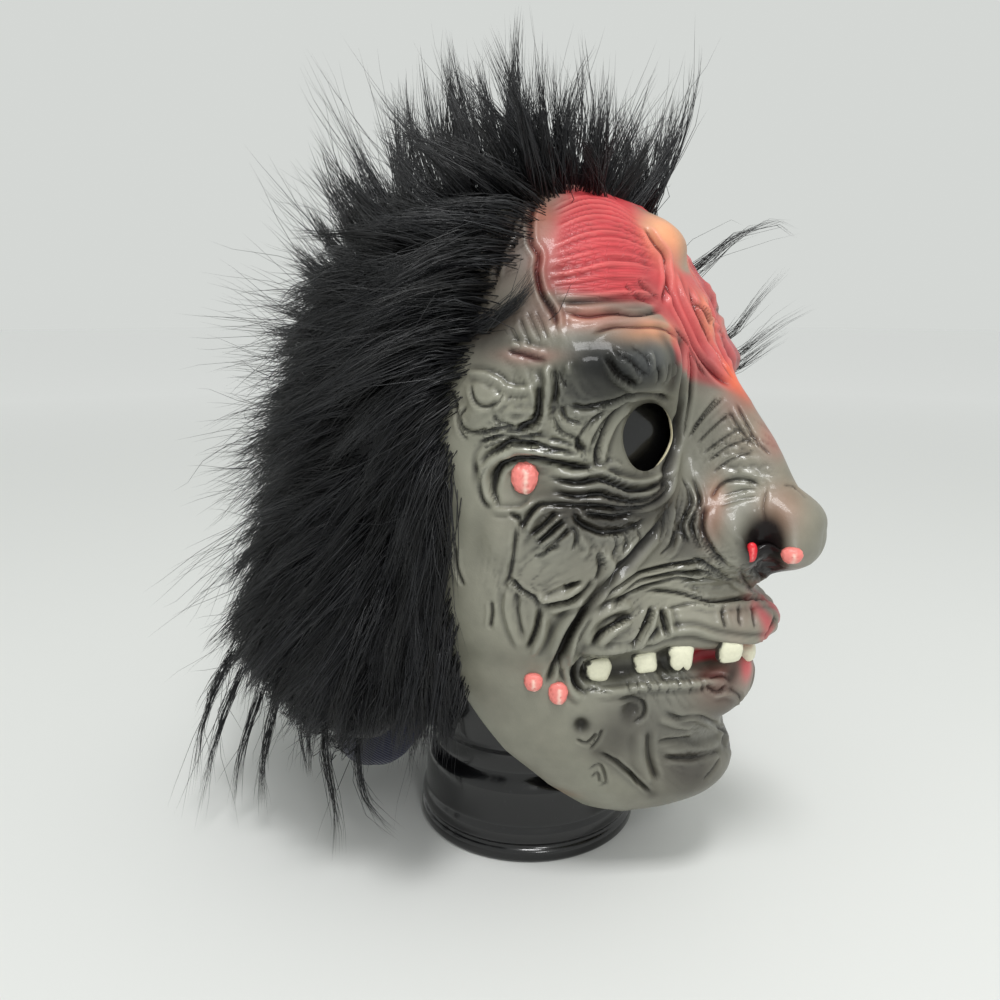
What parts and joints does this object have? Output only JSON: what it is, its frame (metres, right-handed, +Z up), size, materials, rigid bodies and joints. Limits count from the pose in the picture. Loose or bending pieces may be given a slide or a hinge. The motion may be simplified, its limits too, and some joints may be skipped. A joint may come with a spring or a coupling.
{
  "type": "monster mask on display head",
  "caption": "Wrinkled rubber monster mask with a hooked nose, gap teeth, warts and a wild black fur hood, worn on a plain glossy black head form.",
  "frame": {"origin": "centre of the display head's round foot, on its underside", "axes": "+Z up, -Y the way the mask looks, -X towards the mask's right cheek"},
  "size_m": [0.2498, 0.2896, 0.3354],
  "materials": {
    "latex": "glossy moulded latex with airbrushed washes",
    "fur": "long black fake fur on a navy knitted backing",
    "form": "high gloss black"
  },
  "bodies": {
    "root": {"latex_face": "latex", "fur_hood": "fur", "head_form": "form"}
  },
  "joints": []
}
